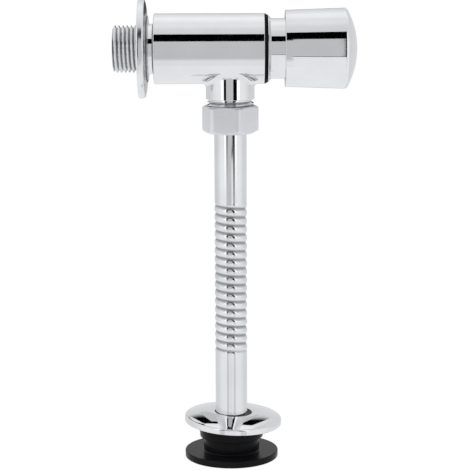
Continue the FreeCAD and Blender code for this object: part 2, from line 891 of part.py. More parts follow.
def make_union():
    blank = doc.addObject("PartDesign::Body", "NutBlank")
    bind(blank, "Placement.Base.x", s.outlet_place)
    tube_hole = s.tube_radius + s.loose_clearance
    thread_bore = s.thread_radius + s.thread_clearance
    turn(blank, "NutTurned", [
        (thread_bore, nut_top),
        (s.nut_top_radius, nut_top),
        (s.nut_corner_radius, nut_top - s.nut_top_chamfer),
        (s.nut_corner_radius, nut_bottom + s.nut_bottom_chamfer),
        (s.nut_bottom_radius, nut_bottom),
        (tube_hole, nut_bottom),
        (tube_hole, slip_ring_end),
        (thread_bore, slip_ring_end),
    ], axis="V_Axis")
    prism = doc.addObject("Part::Prism", "NutHexagon")
    prism.Polygon = 6
    bind(prism, "Circumradius", s.nut_flats / math.sqrt(3))
    bind(prism, "Height", nut_top - nut_bottom)
    prism.Placement.Rotation = FreeCAD.Rotation(Vector(0, 0, 1), s.nut_turn.value)
    bind(prism, "Placement.Rotation.Angle", s.nut_turn)
    bind(prism, "Placement.Base.x", s.outlet_place)
    bind(prism, "Placement.Base.z", nut_bottom)
    nut = doc.addObject("Part::Common", "UnionNut")
    nut.Label = "union_nut"
    nut.Base = blank
    nut.Tool = prism
    parts.append(nut)
    turned_upright(
        "slip_ring",
        upright_ring_corners(tube_collar_end, slip_ring_end, tube_hole, s.tube_collar_radius),
    )
    turned_upright(
        "outlet_gasket",
        upright_ring_corners(boss_end, gasket_end, s.port_radius, s.tube_collar_radius),
    )


def tube_skin(end_radius, rib_radius):
    """A tube's surface as a solid: plain ends, and between them a round section that circles the axis.

    Where the section has swung to the right, the groove beside it is on the left.
    """
    middle = s.outlet_place.value
    sections = [(middle, 0.0, gasket_end.value, end_radius), (middle, 0.0, ribs_top.value, end_radius)]
    steps = RIBS * STEPS_PER_RIB
    for number in range(1, steps):
        angle = 2 * math.pi * (number - FIRST_GROOVE_STEP) / STEPS_PER_RIB
        height = ribs_top.value - s.rib_pitch.value * number / STEPS_PER_RIB
        sections.append((
            middle + s.rib_swing.value * math.cos(angle),
            s.rib_swing.value * math.sin(angle),
            height,
            rib_radius,
        ))
    sections.append((middle, 0.0, ribs_bottom.value, end_radius))
    sections.append((middle, 0.0, tube_bottom.value, end_radius))
    circles = [
        Part.Wire(Part.Circle(Vector(x, y, z), Vector(0, 0, 1), radius).toShape())
        for x, y, z, radius in sections
    ]
    return Part.makeLoft(circles, True, True)


def make_tube():
    wall = s.tube_wall.value
    outside = tube_skin(s.tube_radius.value, s.rib_radius.value)
    inside = tube_skin(s.tube_radius.value - wall, s.rib_radius.value - wall)
    tube = doc.addObject("Part::Feature", "FlushTube")
    tube.Label = "flush_tube"
    tube.Shape = outside.cut(inside)
    parts.append(tube)
    collar_bore = s.tube_radius + s.running_clearance
    turned_upright(
        "tube_collar",
        upright_ring_corners(gasket_end, tube_collar_end, collar_bore, s.tube_collar_radius),
    )


def make_spud():
    tube_hole = s.tube_radius + s.running_clearance
    outlet = s.tube_radius - s.tube_wall
    turned_upright("spud_rubber", [
        (tube_hole, spud_top),
        (s.spud_lip_radius - s.spud_edge, spud_top, s.spud_edge, -1),
        (s.spud_lip_radius, spud_top - s.spud_edge),
        (s.spud_lip_foot_radius, spud_neck_top),
        (s.spud_neck_radius, spud_neck_top),
        (s.spud_neck_radius, spud_neck_bottom),
        (s.spud_flange_radius - s.spud_edge, spud_neck_bottom, s.spud_edge, -1),
        (s.spud_flange_radius, spud_neck_bottom - s.spud_edge),
        (s.spud_flange_radius, spud_bottom + s.spud_edge, s.spud_edge, -1),
        (s.spud_flange_radius - s.spud_edge, spud_bottom),
        (outlet, spud_bottom),
        (outlet, tube_bottom),
        (tube_hole, tube_bottom),
    ])


def check_document():
    doc.recompute()
    for item in doc.Objects:
        if "Invalid" in item.State or "Error" in item.State:
            raise RuntimeError(f"{item.Label} did not compute: {item.State}")
    for piece in parts:
        if piece.Shape.isNull() or not piece.Shape.isValid():
            raise RuntimeError(f"{piece.Label} has no valid shape")


def write_parts():
    os.makedirs("parts", exist_ok=True)
    for piece in parts:
        piece.Shape.exportStep(os.path.join("parts", f"{piece.Label}.step"))
        solids = len(piece.Shape.Solids)
        print(f"{piece.Label}: {solids} solid, {piece.Shape.Volume:.1f} mm3")


make_valve_body()
make_strainer()
make_wall_rosette()
make_seat()
make_bonnet()
make_stem()
make_main_seal()
make_piston()
make_circlip()
make_knob()
make_spring()
make_union()
make_tube()
make_tube_rosette()
make_spud()
check_document()
write_parts()
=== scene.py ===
import math

import bmesh
import bpy
from mathutils import Matrix, Vector


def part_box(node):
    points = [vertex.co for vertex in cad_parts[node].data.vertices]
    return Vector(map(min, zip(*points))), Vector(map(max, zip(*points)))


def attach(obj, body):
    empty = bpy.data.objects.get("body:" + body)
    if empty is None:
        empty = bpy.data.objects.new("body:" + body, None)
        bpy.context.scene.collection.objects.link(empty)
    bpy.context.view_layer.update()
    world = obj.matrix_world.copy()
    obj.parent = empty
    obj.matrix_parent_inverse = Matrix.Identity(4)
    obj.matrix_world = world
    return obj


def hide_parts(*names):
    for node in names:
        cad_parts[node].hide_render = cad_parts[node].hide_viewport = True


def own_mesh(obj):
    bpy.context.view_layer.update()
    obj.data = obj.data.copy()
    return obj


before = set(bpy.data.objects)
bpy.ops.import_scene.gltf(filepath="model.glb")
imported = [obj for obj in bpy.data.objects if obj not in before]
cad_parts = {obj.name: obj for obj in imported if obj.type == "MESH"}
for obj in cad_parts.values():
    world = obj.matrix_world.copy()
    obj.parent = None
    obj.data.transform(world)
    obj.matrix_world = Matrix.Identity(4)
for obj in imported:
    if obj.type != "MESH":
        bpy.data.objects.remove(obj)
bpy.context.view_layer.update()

MM = 0.001
TAU = 2 * math.pi
A_HAIR = 0.01 * MM
GROOVE_SHADE_LAYER = "groove"


def low(node):
    return Vector(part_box(node)[0])


def high(node):
    return Vector(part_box(node)[1])


# Places and sizes read from the frame, in metres

OUTLET_X = (low("flush_tube").x + high("flush_tube").x) / 2
WALL_X = low("wall_rosette").x
NECK_X = high("wall_rosette").x
INLET_X = low("valve_body").x
BODY_END_X = high("valve_body").x
BODY_RADIUS = high("valve_body").y
BOSS_END_Z = low("valve_body").z
COLLAR_X = high("bonnet_gasket").x
SLEEVE_END_X = high("bonnet").x
KNOB_X = low("button_cap").x
KNOB_TIP_X = high("button_cap").x
KNOB_RADIUS = high("button_cap").y
TUBE_TOP_Z = high("flush_tube").z
TUBE_END_Z = low("flush_tube").z
FLOOR_Z = low("spud_rubber").z

# Sizes of the visible pieces in metres, with some shares and angles. Most are as in the solids.

THREAD_RADIUS = 10.4775 * MM
THREAD_DEPTH = 1.162 * MM
THREAD_ROOT = THREAD_RADIUS - THREAD_DEPTH
THREAD_PITCH = 1.8143 * MM
THREAD_LEAD = 0.8 * MM
THREAD_END_X = 1.4 * MM
THREAD_FADE = 1.6 * MM
OUTLET_THREAD_FADE = 0.4 * MM
THREAD_FLAT_SHARE = 0.09
THREAD_FLANK_SHARE = 0.82
THREAD_SOFTNESS = 0.25
THREAD_SHADE_FROM = 0.66
THREAD_MARGIN = 0.1 * MM

NECK_RADIUS = 11.0 * MM
NECK_EDGE = 0.25 * MM
NECK_GROOVE = 0.5 * MM
NECK_GROOVE_EDGE = 0.1 * MM
BODY_X = 6.8 * MM
BODY_WALL_EDGE = 0.5 * MM
BODY_KNOB_EDGE = 0.4 * MM
RECESS_RADIUS = 8.0 * MM
RECESS_DEPTH = 2.5 * MM
INLET_BORE = 6.5 * MM
CHAMBER_RADIUS = 12.5 * MM
CHAMBER_FLOOR_X = BODY_X + 20.0 * MM

BOSS_RADIUS = 10.7 * MM
BOSS_EDGE_Z = -22.3 * MM
BOSS_EDGE = 0.35 * MM
BOSS_RELIEF = 0.7 * MM
BOSS_FILLET = 1.6 * MM
PORT_RADIUS = 6.0 * MM
PORT_TOP_Z = -13.0 * MM

SPIGOT_RADIUS = CHAMBER_RADIUS - 0.1 * MM
SPIGOT_LENGTH = 8.0 * MM
CYLINDER_RADIUS = 9.0 * MM
GLAND_RADIUS = 9.8 * MM
GLAND_DEPTH = 9.5 * MM
SLEEVE_RADIUS = 13.25 * MM
SLEEVE_EDGE = 0.3 * MM
SLEEVE_BORE_EDGE = 0.2 * MM
COLLAR_RADIUS = 14.6 * MM
COLLAR_LENGTH = 1.2 * MM
COLLAR_CHAMFER = 0.9 * MM
COLLAR_EDGES = (0.1 * MM, 0.15 * MM)

KNOB_BACK_RADIUS = 16.85 * MM
KNOB_DOME = 35.2 * MM
KNOB_EDGE = 1.6 * MM
KNOB_EDGE_REACH = 1.2 * MM
KNOB_BACK_EDGES = (0.25 * MM, 0.3 * MM)
KNOB_BACK_DEPTH = 0.05 * MM
KNOB_CLEARANCE = 0.3 * MM
KNOB_WALL_GAP = 0.3 * MM

ROSETTE_RADIUS = 21.75 * MM
ROSETTE_HOLE = THREAD_RADIUS + 0.32 * MM
ROSETTE_SHEET = 0.9 * MM
ROSETTE_EDGE = 0.9 * MM
ROSETTE_BURR = 0.15 * MM
ROSETTE_DOME = 34.0 * MM
ROSETTE_BAND = 3.0 * MM
ROSETTE_BARREL = 0.1 * MM
ROSETTE_FLAT = 3.8 * MM
ROSETTE_STEP = 0.45 * MM

TUBE_ROSETTE_RADIUS = 22.1 * MM
TUBE_ROSETTE_HOLE = 8.5 * MM
TUBE_ROSETTE_LAND = 1.4 * MM
TUBE_ROSETTE_BAND = 2.7 * MM
TUBE_ROSETTE_RISE = 2.0 * MM
TUBE_ROSETTE_TILTS = (1.4, 2.7)

NUT_FLATS = 23.0 * MM
NUT_CORNER_RADIUS = 12.6 * MM
NUT_TURN = math.radians(49)
NUT_TOP_RADIUS = 11.2 * MM
NUT_BOTTOM_RADIUS = 10.0 * MM
NUT_CHAMFER_ANGLE = math.radians(30)
NUT_CORNER_ANGLE = TAU / 6
NUT_GLINT = math.radians(2.4)
NUT_UPRIGHT = 0.1
NUT_THREAD_BORE = 10.58 * MM
NUT_TUBE_CLEARANCE = 0.3 * MM
NUT_WORN_EDGE = 0.14 * MM
NUT_WORN_ANGLE = math.radians(24)

TUBE_RADIUS = 7.2 * MM
TUBE_WALL = 0.7 * MM

FLANGE_HEIGHT = 3.1 * MM
CONNECTOR_NECK_HEIGHT = 6.4 * MM
CONNECTOR_NECK_RADIUS = 12.8 * MM
CONNECTOR_CLEARANCE = 0.05 * MM
CONNECTOR_EDGE = 0.5 * MM
NECK_TOP_EDGE = 0.3 * MM
LIP_RADIUS = 15.1 * MM
LIP_FOOT_RADIUS = 14.4 * MM
LIP_FOOT_EDGE = 0.35 * MM
OUTLET_EDGE = 0.2 * MM

SPRING_WIRE = 0.7 * MM
SPRING_TURNS = 7

RIBS = 18
RIB_TOP_Z = -68.05 * MM
RIB_BOTTOM_Z = -137.53 * MM
RIB_PITCH = (RIB_TOP_Z - RIB_BOTTOM_Z) / RIBS
FIRST_FRONT_GROOVE = 0.625
RIB_GROOVE = 0.72 * MM
RIB_CREST = 0.12 * MM
RIB_ARC = math.radians(44)
RIB_SOFTNESS = 0.09
RIB_FADE = 0.6
GROOVE_SHADE_SHARE = 0.6

# How finely the meshes are divided: segments go round an axis, steps go along an outline

BODY_SEGMENTS = 256
COVER_SEGMENTS = 224
NUT_SEGMENTS = 240
TUBE_SEGMENTS = 192
CONNECTOR_SEGMENTS = 200
FILLET_STEPS = 6
THREAD_STEPS = 14
BOSS_FILLET_STEPS = 6
KNOB_EDGE_STEPS = 12
KNOB_FACE_STEPS = 28
ROSETTE_RIM_STEPS = 8
ROSETTE_OUTER_STEPS = 14
ROSETTE_INNER_STEPS = 10
NUT_WORN_STEPS = 3
TUBE_PLAIN_STEPS = 8
RIB_OUTER_STEPS = 24
RIB_INNER_STEPS = 8
SPRING_STEPS = 48 * SPRING_TURNS
SPRING_SIDES = 16
MERGE_DISTANCE = 1e-7

# Angles in degrees above which an edge between two faces stays sharp

TURNED_SHARP = 50
PRESSED_SHARP = 35
SOFT_SHARP = 60


# Mesh helpers

def mesh_object(name, verts, faces, body, replaced):
    mesh = bpy.data.meshes.new(name)
    mesh.from_pydata([tuple(v) for v in verts], [], faces)
    mesh.validate()
    piece = bpy.data.objects.new(name, mesh)
    bpy.context.scene.collection.objects.link(piece)
    tidy_mesh(mesh)
    for polygon in mesh.polygons:
        polygon.use_smooth = True
    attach(piece, body)
    if replaced:
        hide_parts(*replaced)
    return piece


def tidy_mesh(mesh):
    work = bmesh.new()
    work.from_mesh(mesh)
    bmesh.ops.remove_doubles(work, verts=work.verts, dist=MERGE_DISTANCE)
    bmesh.ops.recalc_face_normals(work, faces=work.faces)
    work.to_mesh(mesh)
    work.free()


def coat(piece, material, chosen=None):
    """Adds a material. Where faces are to be chosen for it, only those get it."""
    materials = piece.data.materials
    materials.append(material)
    if chosen is not None:
        for polygon in piece.data.polygons:
            if chosen(polygon.center, polygon.normal):
                polygon.material_index = len(materials) - 1


def weighted_normals(piece, sharp=None):
    """Large faces keep their true normals, so flats and barrels reflect without waves.

    Edges with a sharper angle in degrees than the given one stay sharp.
    """
    if sharp is not None:
        piece.data.set_sharp_from_angle(angle=math.radians(sharp))
    weigh = piece.modifiers.new("even_normals", "WEIGHTED_NORMAL")
    weigh.weight = 100
    weigh.keep_sharp = True


def rounded(corners, steps=FILLET_STEPS):
    """Corners as (along, out, fillet radius). Each one with a radius becomes an arc."""
    points = []
    count = len(corners)
    for number, (along, out, radius) in enumerate(corners):
        here = Vector((along, out))
        if radius <= 0:
            points.append(here)
            continue
        before = Vector(corners[number - 1][:2]) - here
        after = Vector(corners[(number + 1) % count][:2]) - here
        half = before.angle(after) / 2
        reach = radius / math.tan(half)
        first = here + before.normalized() * reach
        last = here + after.normalized() * reach
        centre = here + (before.normalized() + after.normalized()).normalized() * (radius / math.sin(half))
        start = first - centre
        sweep = start.angle_signed(last - centre)
        for step in range(steps + 1):
            turned = start.copy()
            turned.rotate(Matrix.Rotation(-sweep * step / steps, 2))
            points.append(centre + turned)
    return points


def along_x(along, out, angle):
    return Vector((along, -out * math.cos(angle), out * math.sin(angle)))


def around_outlet(along, out, angle):
    return Vector((OUTLET_X + out * math.sin(angle), -out * math.cos(angle), along))


def ring_faces(rows, segments, closed):
    faces = []
    last = rows if closed else rows - 1
    for row in range(last):
        following = (row + 1) % rows
        for part in range(segments):
            beside = (part + 1) % segments
            faces.append((
                row * segments + part,
                row * segments + beside,
                following * segments + beside,
                following * segments + part,
            ))
    return faces


def lathe(name, points, place, body, replaced, segments, closed=True):
    """A turned piece. A closed outline goes round a bore, an open one ends on the axis."""
    verts = []
    for along, out in points:
        for part in range(segments):
            verts.append(place(along, out, TAU * part / segments))
    faces = ring_faces(len(points), segments, closed)
    return mesh_object(name, verts, faces, body, replaced)


# Node material helpers. Noise mostly lies between the two ends of NOISE_SPAN.

NOISE_SPAN = (0.3, 0.7)
CLOUD_DETAIL = 3.0
METAL_CLOUD_SCALE = 60.0
METAL_POLISH_SCALE = 320.0
METAL_POLISH_DETAIL = 5.0
METAL_GRAIN_DEPTH = 0.02 * MM
SOFT_CLOUD_SCALE = 90.0
SOFT_SKIN_DETAIL = 6.0


def new_material(name):
    material = bpy.data.materials.new(name)
    material.use_nodes = True
    nodes = material.node_tree.nodes
    shader = nodes["Principled BSDF"]
    return material, nodes, material.node_tree.links, shader


def object_noise(nodes, links, scale, detail=CLOUD_DETAIL, stretch=None):
    where = nodes.new("ShaderNodeTexCoord")
    noise = nodes.new("ShaderNodeTexNoise")
    noise.inputs["Scale"].default_value = scale
    noise.inputs["Detail"].default_value = detail
    if stretch is None:
        links.new(where.outputs["Object"], noise.inputs["Vector"])
    else:
        mapping = nodes.new("ShaderNodeMapping")
        mapping.inputs["Scale"].default_value = stretch
        links.new(where.outputs["Object"], mapping.inputs["Vector"])
        links.new(mapping.outputs["Vector"], noise.inputs["Vector"])
    return noise


def remap(nodes, links, source, values):
    spread = nodes.new("ShaderNodeMapRange")
    spread.inputs["From Min"].default_value = NOISE_SPAN[0]
    spread.inputs["From Max"].default_value = NOISE_SPAN[1]
    spread.inputs["To Min"].default_value = values[0]
    spread.inputs["To Max"].default_value = values[1]
    links.new(source, spread.inputs["Value"])
    return spread.outputs["Result"]


def bump(nodes, links, source, shader, strength, distance):
    relief = nodes.new("ShaderNodeBump")
    relief.inputs["Strength"].default_value = strength
    relief.inputs["Distance"].default_value = distance
    links.new(source, relief.inputs["Height"])
    links.new(relief.outputs["Normal"], shader.inputs["Normal"])


def tint(nodes, links, source, colours, shader):
    ramp = nodes.new("ShaderNodeValToRGB")
    for stop, place, colour in zip(ramp.color_ramp.elements, NOISE_SPAN, colours):
        stop.position = place
        stop.color = (*colour, 1)
    links.new(source, ramp.inputs["Fac"])
    links.new(ramp.outputs["Color"], shader.inputs["Base Color"])


def metal(name, colours, rough, grain=0.0, stretch=None):
    """Plated or bare metal: faint clouding in colour and polish, and fine buffing lines where wanted.

    Colours and roughness are given as the two ends between which the noise moves them.
    """
    material, nodes, links, shader = new_material(name)
    shader.inputs["Metallic"].default_value = 1.0
    clouds = object_noise(nodes, links, METAL_CLOUD_SCALE)
    tint(nodes, links, clouds.outputs["Fac"], colours, shader)
    polish = object_noise(nodes, links, METAL_POLISH_SCALE, METAL_POLISH_DETAIL, stretch)
    links.new(remap(nodes, links, polish.outputs["Fac"], rough), shader.inputs["Roughness"])
    if grain > 0:
        bump(nodes, links, polish.outputs["Fac"], shader, grain, METAL_GRAIN_DEPTH)
    return material


def paint_groove_shade(material, colour, rough):
    """Paints shade where the mesh marks a groove: the colour there is painted dark, and the surface is made
    rougher.
    """
    nodes = material.node_tree.nodes
    links = material.node_tree.links
    shader = nodes["Principled BSDF"]
    where = nodes.new("ShaderNodeAttribute")
    where.attribute_name = GROOVE_SHADE_LAYER
    for socket, value in (("Base Color", (*colour, 1)), ("Roughness", (rough, rough, rough, 1))):
        polished = shader.inputs[socket].links[0].from_socket
        mix = nodes.new("ShaderNodeMix")
        mix.data_type = "RGBA"
        mix.inputs["B"].default_value = value
        links.new(where.outputs["Fac"], mix.inputs["Factor"])
        links.new(polished, mix.inputs["A"])
        links.new(mix.outputs["Result"], shader.inputs[socket])


def soft_solid(name, colours, rough, grain_scale, grain, depth, gloss=0.5):
    """Rubber, fibre or moulded plastic with a fine skin."""
    material, nodes, links, shader = new_material(name)
    shader.inputs["Specular IOR Level"].default_value = gloss
    clouds = object_noise(nodes, links, SOFT_CLOUD_SCALE)
    tint(nodes, links, clouds.outputs["Fac"], colours, shader)
    skin = object_noise(nodes, links, grain_scale, SOFT_SKIN_DETAIL)
    links.new(remap(nodes, links, skin.outputs["Fac"], rough), shader.inputs["Roughness"])
    bump(nodes, links, skin.outputs["Fac"], shader, grain, depth)
    return material


# The materials

PLATE = ((0.80, 0.81, 0.82), (0.86, 0.87, 0.88))
DRAWN_PLATE = ((0.79, 0.80, 0.81), (0.86, 0.87, 0.88))
SATIN_PLATE = ((0.77, 0.78, 0.80), (0.83, 0.84, 0.86))
TURNED_PLATE = ((0.78, 0.79, 0.81), (0.84, 0.85, 0.87))

CHROME = metal("polished_chrome", PLATE, (0.035, 0.06))
SATIN_CHROME = metal("satin_chrome", SATIN_PLATE, (0.60, 0.68), grain=0.1)
CORNER_CHROME = metal("turned_corner_chrome", TURNED_PLATE, (0.36, 0.42))
COVER_CHROME = metal("pressed_cover_chrome", PLATE, (0.20, 0.23))
TUBE_CHROME = metal(
    "drawn_tube_chrome", DRAWN_PLATE, (0.06, 0.11), grain=0.06, stretch=(1.0, 1.0, 0.05)
)
THREAD_CHROME = metal("thread_chrome", PLATE, (0.05, 0.09), grain=0.06)
BRASS = metal("machined_brass", ((0.62, 0.45, 0.19), (0.74, 0.56, 0.27)), (0.2, 0.32), grain=0.2)
# Painted shade: a darker, duller metal on the knob's back face, standing in for the dark line of shade at its
# back rim.
KNOB_BACK_SHADE = metal("knob_back_painted_shade", ((0.74, 0.74, 0.75), (0.80, 0.80, 0.81)), (0.28, 0.38), grain=0.1)
# Painted shade: a dark, dull metal in the neck's groove and on the wall cover's step, standing in for the
# shadow in those gaps.
SEAM_SHADE = metal("painted_seam_shade", ((0.15, 0.15, 0.153), (0.22, 0.22, 0.225)), (0.4, 0.55), grain=0.2)
STAINLESS = metal("stainless_wire", ((0.50, 0.50, 0.50), (0.60, 0.60, 0.60)), (0.18, 0.3), grain=0.2)
# Painted shade: the thread roots and the tube's grooves get a dark colour, standing in for the shade that
# falls in them.
paint_groove_shade(TUBE_CHROME, (0.30, 0.30, 0.31), 0.35)
paint_groove_shade(THREAD_CHROME, (0.24, 0.24, 0.245), 0.3)
RUBBER = soft_solid(
    "moulded_black_rubber", ((0.002, 0.002, 0.0025), (0.004, 0.004, 0.005)), (0.16, 0.3),
    grain_scale=900.0, grain=0.06, depth=0.02 * MM, gloss=0.1
)
SEAL_RUBBER = soft_solid(
    "seal_rubber", ((0.002, 0.002, 0.002), (0.004, 0.004, 0.004)), (0.42, 0.6),
    grain_scale=1200.0, grain=0.15, depth=0.03 * MM, gloss=0.03
)
FIBRE = soft_solid(
    "pressed_fibre", ((0.20, 0.06, 0.035), (0.32, 0.10, 0.06)), (0.6, 0.8),
    grain_scale=700.0, grain=0.3, depth=0.05 * MM
)
ACETAL = soft_solid(
    "moulded_acetal", ((0.62, 0.62, 0.58), (0.70, 0.70, 0.66)), (0.32, 0.42),
    grain_scale=500.0, grain=0.06, depth=0.02 * MM
)

NODE_MATERIALS = {
    BRASS: ("seat_bush", "gland_nut", "stem", "seal_backing", "seal_washer", "slip_ring"),
    STAINLESS: (
        "inlet_strainer", "strainer_ring", "return_spring", "bleed_pin", "seal_screw", "stem_circlip",
        "button_screw",
    ),
    SEAL_RUBBER: (
        "seat_o_ring", "bonnet_o_ring", "stem_o_ring", "main_seal", "piston_cup", "bonnet_gasket",
    ),
    FIBRE: ("outlet_gasket",),
    ACETAL: ("piston", "button_core"),
    CHROME: ("valve_body", "bonnet", "button_cap", "wall_rosette", "tube_rosette"),
    TUBE_CHROME: ("flush_tube", "tube_collar"),
    SATIN_CHROME: ("union_nut",),
    RUBBER: ("spud_rubber",),
}


def dress_nodes():
    for material, names in NODE_MATERIALS.items():
        for name in names:
            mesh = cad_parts[name].data
            mesh.materials.clear()
            mesh.materials.append(material)


# The pieces

def thread_radius(phase):
    """Radius of a rounded pipe thread at a share of its pitch."""
    height = abs(2 * (phase % 1.0) - 1)
    level = min(max((height - THREAD_FLAT_SHARE) / THREAD_FLANK_SHARE, 0.0), 1.0)
    curved = level * level * (3 - 2 * level)
    soft = curved * THREAD_SOFTNESS + level * (1 - THREAD_SOFTNESS)
    return THREAD_RADIUS - THREAD_DEPTH * soft


def thread_rows(start, stop, fade_length, sense):
    """The rows of a thread, from its chamfered end to where it fades out."""
    count = int(abs(stop - start) / THREAD_PITCH * THREAD_STEPS)
    rows = []
    for number in range(count + 1):
        place = start + (stop - start) * number / count
        fade = min(abs(stop - place) / fade_length, 1.0)
        lead = abs(place - start) - THREAD_LEAD
        rows.append(thread_row(place, fade, lead, sense))
    return rows


def grid_piece(name, rows, place, segments, body, replaced):
    """Rows of functions of the angle, each giving (along, out); the last row joins the first."""
    verts = []
    for row in rows:
        for part in range(segments):
            angle = TAU * part / segments
            along, out = row(angle)
            verts.append(place(along, out, angle))
    faces = ring_faces(len(rows), segments, True)
    return mesh_object(name, verts, faces, body, replaced)


def fixed_row(along, out):
    return lambda angle: (along, out)


def thread_row(place, fade, lead, sense):
    """One ring of a right-hand thread. The sense says which way the angle runs round its axis."""
    def row(angle):
        phase = place / THREAD_PITCH + sense * angle / TAU
        radius = THREAD_ROOT - (THREAD_ROOT - thread_radius(phase)) * fade
        return place, min(radius, THREAD_RADIUS + min(lead, 0.0))
    return row


def from_valve_axis(place):
    return math.hypot(place.y, place.z)


def from_outlet_axis(place):
    return math.hypot(place.x - OUTLET_X, place.y)


def make_body_shell():
    recess_x = INLET_X + RECESS_DEPTH
    groove_x = BODY_X - NECK_GROOVE
    rows = [fixed_row(recess_x, INLET_BORE), fixed_row(recess_x, RECESS_RADIUS)]
    rows.append(fixed_row(INLET_X, RECESS_RADIUS))
    rows += thread_rows(INLET_X, THREAD_END_X, THREAD_FADE, 1)
    outline = rounded([
        (NECK_X, THREAD_ROOT, 0),
        (NECK_X, NECK_RADIUS, NECK_EDGE),
        (groove_x, NECK_RADIUS, NECK_GROOVE_EDGE),
        (groove_x, NECK_RADIUS - NECK_GROOVE, 0),
        (BODY_X, NECK_RADIUS - NECK_GROOVE, 0),
        (BODY_X, BODY_RADIUS, BODY_WALL_EDGE),
        (BODY_END_X, BODY_RADIUS, BODY_KNOB_EDGE),
        (BODY_END_X, CHAMBER_RADIUS, 0),
        (CHAMBER_FLOOR_X, CHAMBER_RADIUS, 0),
        (CHAMBER_FLOOR_X, INLET_BORE, 0),
    ])
    rows += [fixed_row(along, out) for along, out in outline]
    body = grid_piece("body_shell", rows, along_x, BODY_SEGMENTS, "valve", ("valve_body",))

    def on_thread(middle, normal):
        return middle.x < NECK_X - THREAD_MARGIN and from_valve_axis(middle) > RECESS_RADIUS

    def in_groove(middle, normal):
        return groove_x - A_HAIR < middle.x < BODY_X - A_HAIR

    coat(body, CHROME)
    coat(body, THREAD_CHROME, on_thread)
    # The neck's groove gets the painted shade.
    coat(body, SEAM_SHADE, in_groove)
    weighted_normals(body, TURNED_SHARP)
    shade_roots(body, from_valve_axis)


def saddle_row(radius, drop):
    """The ring where an upright tube of that radius meets the round body, lowered by the drop."""
    def row(angle):
        across = radius * math.cos(angle)
        return -math.sqrt(BODY_RADIUS ** 2 - across ** 2) - drop, radius
    return row


def make_outlet_boss():
    rows = [fixed_row(PORT_TOP_Z, PORT_RADIUS)]
    for step in range(BOSS_FILLET_STEPS + 1):
        turned = math.pi / 2 * step / BOSS_FILLET_STEPS
        flare = BOSS_RADIUS + BOSS_FILLET * (1 - math.sin(turned))
        rows.append(saddle_row(flare, BOSS_FILLET * (1 - math.cos(turned))))
    edge = rounded([
        (PORT_TOP_Z, BOSS_RADIUS, 0),
        (BOSS_EDGE_Z, BOSS_RADIUS, BOSS_EDGE),
        (BOSS_EDGE_Z, THREAD_ROOT, 0),
    ])[1:]
    rows += [fixed_row(along, out) for along, out in edge]
    thread_top = BOSS_EDGE_Z - BOSS_RELIEF
    rows += thread_rows(BOSS_END_Z, thread_top, OUTLET_THREAD_FADE, -1)[::-1]
    rows.append(fixed_row(BOSS_END_Z, PORT_RADIUS))
    boss = grid_piece(
        "outlet_boss", rows, around_outlet, BODY_SEGMENTS, "valve", ("valve_body",)
    )
    coat(boss, CHROME)
    coat(boss, THREAD_CHROME, lambda middle, normal: middle.z < thread_top + THREAD_MARGIN)
    weighted_normals(boss, TURNED_SHARP)
    shade_roots(boss, from_outlet_axis)


def shade_roots(piece, radius_at):
    """Marks how deep in the thread each vertex lies, so that the thread's roots get painted shade."""
    shade = piece.data.attributes.new(GROOVE_SHADE_LAYER, "FLOAT", "POINT")
    for vertex, share in zip(piece.data.vertices, shade.data):
        depth = (THREAD_RADIUS - radius_at(vertex.co)) / THREAD_DEPTH
        share.value = min(max((depth - THREAD_SHADE_FROM) / (1 - THREAD_SHADE_FROM), 0.0), 1.0)


def arc_points(begin, end, radius, side, steps):
    """Points on the arc of that radius between two places, without its ends."""
    first = Vector(begin)
    last = Vector(end)
    chord = last - first
    middle = (first + last) / 2
    reach = math.sqrt(radius ** 2 - (chord.length / 2) ** 2)
    centre = middle + Vector((-chord.y, chord.x)).normalized() * reach * side
    start = first - centre
    sweep = start.angle_signed(last - centre)
    points = []
    for step in range(1, steps):
        turned = start.copy()
        turned.rotate(Matrix.Rotation(-sweep * step / steps, 2))
        points.append(centre + turned)
    return points


def dish_outline(rim, front, hole, radius, band, land, barrel=0.0, step=0.0):
    """The outline of a dished sheet cover, front towards plus.

    A barrel rounds its rim a little, and a step raises the flat round its hole.
    """
    sheet = ROSETTE_SHEET
    edge = ROSETTE_EDGE
    burr = ROSETTE_BURR
    shoulder = rim + band
    outer_start = Vector((shoulder, radius - edge))
    outer_end = Vector((front - step, hole + land))
    inner_start = Vector((front - sheet, hole + land))
    inner_end = Vector((shoulder - sheet, radius - sheet))
    points = [Vector((rim, radius - sheet)), Vector((rim, radius - burr - barrel))]
    for number in range(ROSETTE_RIM_STEPS + 1):
        share = number / ROSETTE_RIM_STEPS
        along = rim + burr + (band - edge - burr) * share
        points.append(Vector((along, radius - barrel * (2 * share - 1) ** 2)))
    points += [
        Vector((shoulder - edge + edge * math.sin(t), radius - barrel - edge + edge * math.cos(t)))
        for t in [math.pi / 2 * number / ROSETTE_RIM_STEPS for number in range(1, ROSETTE_RIM_STEPS)]
    ]
    points += [outer_start]
    points += arc_points(outer_start, outer_end, ROSETTE_DOME, -1, ROSETTE_OUTER_STEPS)
    if step > 0:
        points.append(outer_end)
    points += [Vector((front, hole + land)), Vector((front, hole + burr)), Vector((front - burr, hole))]
    points += [Vector((front - sheet, hole)), inner_start]
    points += arc_points(inner_start, inner_end, ROSETTE_DOME - sheet, 1, ROSETTE_INNER_STEPS)
    points.append(inner_end)
    return points


def make_wall_rosette():
    outline = dish_outline(
        WALL_X, NECK_X, ROSETTE_HOLE, ROSETTE_RADIUS, ROSETTE_BAND, ROSETTE_FLAT, ROSETTE_BARREL, ROSETTE_STEP
    )
    piece = lathe(
        "wall_cover", outline, along_x, "wall_rosette", ("wall_rosette",), COVER_SEGMENTS
    )

    def on_step(middle, normal):
        from_step = abs(from_valve_axis(middle) - ROSETTE_HOLE - ROSETTE_FLAT)
        return from_step < A_HAIR and middle.x > NECK_X - ROSETTE_STEP

    coat(piece, COVER_CHROME)
    # The step round the cover's hole gets the painted shade.
    coat(piece, SEAM_SHADE, on_step)
    weighted_normals(piece, PRESSED_SHARP)


